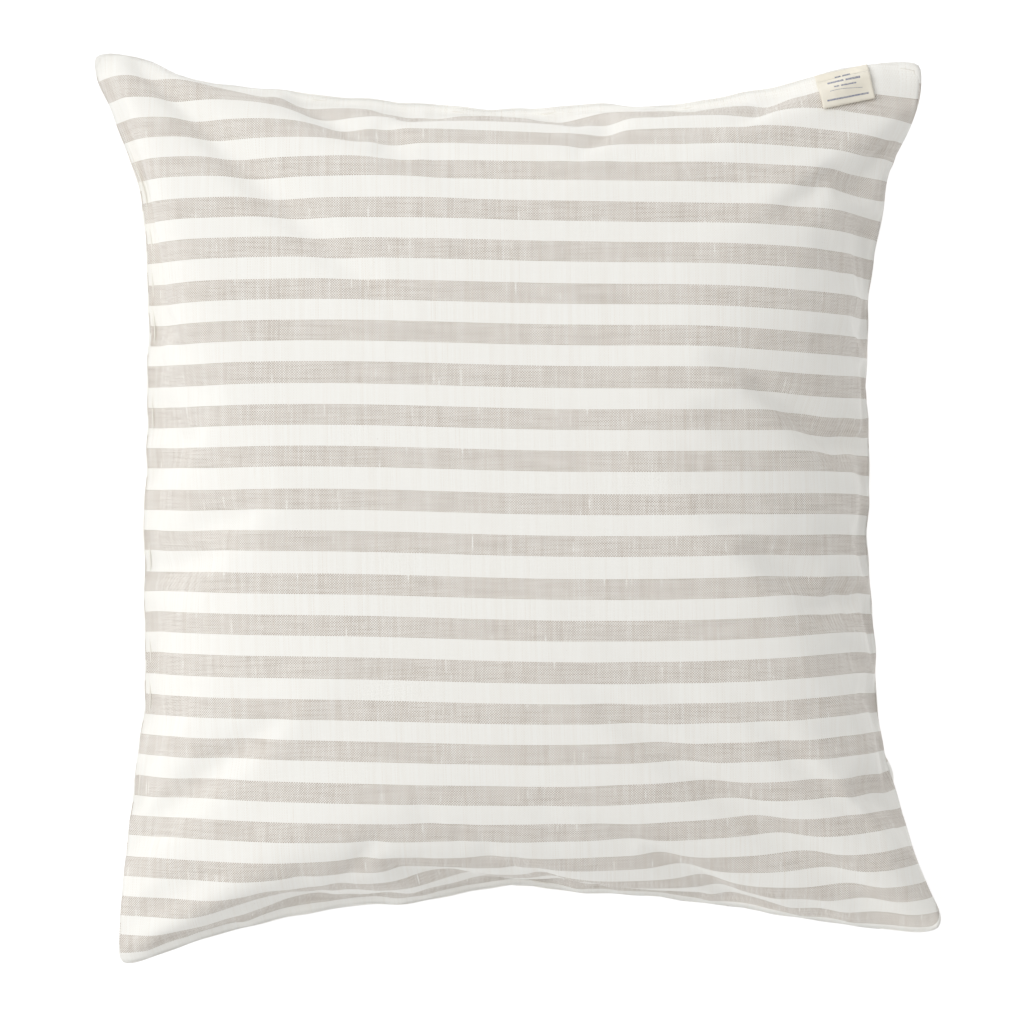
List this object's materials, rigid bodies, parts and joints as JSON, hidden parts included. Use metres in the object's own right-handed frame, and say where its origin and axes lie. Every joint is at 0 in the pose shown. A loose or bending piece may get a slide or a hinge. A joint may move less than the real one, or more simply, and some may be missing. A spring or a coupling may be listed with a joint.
{
  "type": "throw pillow",
  "caption": "Filled throw pillow: striped woven cover with bowed knife-edge seams, zipped back panel, sewn-in label and a separate fibre-filled insert.",
  "frame": {"origin": "middle of the pillow's outline, on the surface that the back panel lies on", "axes": "+X along the stripes, towards the right side seam seen from the front; +Y towards the labelled top seam; +Z out of the front panel"},
  "size_m": [0.488, 0.523, 0.1549],
  "materials": {
    "striped_linen": "plain-weave linen, white and natural flax stripes, washed, matte",
    "sewing_thread": "spun polyester sewing thread, off-white",
    "cotton_casing": "downproof cotton cambric, white",
    "fibre_fill": "loose hollow polyester fibre, white",
    "zip_tape": "woven polyester tape, off-white",
    "zip_coil": "moulded nylon coil, off-white, satin",
    "zip_metal": "die-cast zinc, nickel plated, satin",
    "label_tape": "woven cotton tape, cream, printed in navy"
  },
  "bodies": {
    "pillow": {"cover_front": "striped_linen", "cover_back_upper": "striped_linen", "cover_back_lower": "striped_linen", "cover_seam_thread": "sewing_thread", "insert_casing_front": "cotton_casing", "insert_casing_back": "cotton_casing", "insert_seam_thread": "sewing_thread", "filling": "fibre_fill", "zip_tape_upper": "zip_tape", "zip_tape_lower": "zip_tape", "zip_coil_upper": "zip_coil", "zip_coil_lower": "zip_coil", "zip_top_stop_upper": "zip_metal", "zip_top_stop_lower": "zip_metal", "zip_bottom_stop": "zip_metal", "zip_topstitch_upper": "sewing_thread", "zip_topstitch_lower": "sewing_thread"},
    "slider": {"zip_slider": "zip_metal"},
    "pull": {"zip_pull": "zip_metal"},
    "label_loop": {"label": "label_tape"}
  },
  "joints": [
    {"name": "zip_slide", "type": "hinge", "parent": "pillow", "child": "slider", "pos_m": [0, -0.192, 0.719], "axis": [0, 1, 0], "range_deg": [0, 27.9]},
    {"name": "zip_pull_swing", "type": "hinge", "parent": "slider", "child": "pull", "pos_m": [0.1695, -0.19362, 0.03694], "axis": [-0.1206, -0.866, 0.4852], "range_deg": [-72, 104]},
    {"name": "label_flip", "type": "hinge", "parent": "pillow", "child": "label_loop", "pos_m": [0.18612, 0.2486, 0.0776], "axis": [-0.9854, -0.1702, 0], "range_deg": [0, 130]}
  ]
}
